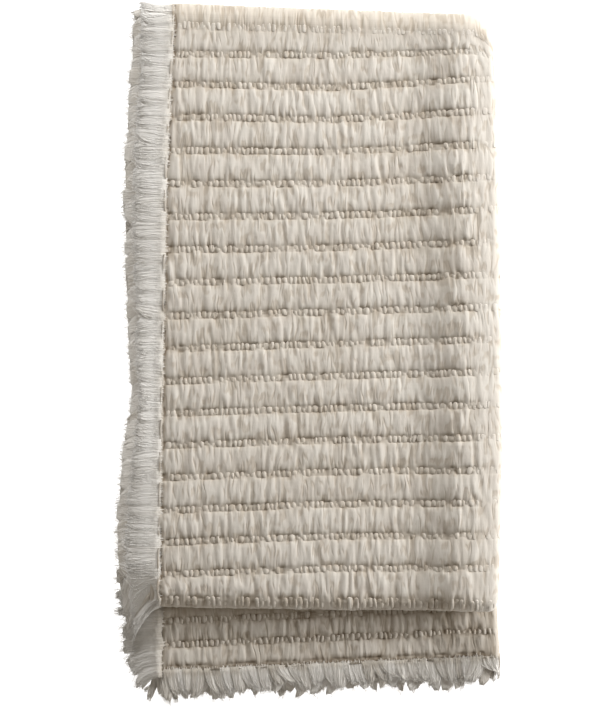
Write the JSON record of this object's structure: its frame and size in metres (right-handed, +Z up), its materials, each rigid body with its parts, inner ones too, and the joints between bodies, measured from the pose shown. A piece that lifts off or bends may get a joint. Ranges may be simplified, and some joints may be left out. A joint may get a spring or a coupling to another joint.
{
  "type": "folded fringed throw blanket",
  "caption": "Crinkled cotton throw with stitched rows and cut fringe, folded in half twice and in three, lying face up.",
  "frame": {"origin": "centre of the bounding box at its base, on the surface that the throw lies on", "axes": "+Z up through the layers, +Y towards the top fold, +X towards the folded side, the fringed selvedges at -X"},
  "size_m": [0.3628, 0.645, 0.0465],
  "materials": {
    "crinkled_cotton": "crinkled off-white cotton, matt",
    "fringe_cotton": "loose off-white cotton yarn, matt"
  },
  "bodies": {
    "root": {"throw_cloth": "crinkled_cotton", "side_fringe_over": "fringe_cotton", "side_fringe_under": "fringe_cotton", "end_fringe_shown": "fringe_cotton", "end_fringe_tucked": "fringe_cotton"}
  },
  "joints": []
}
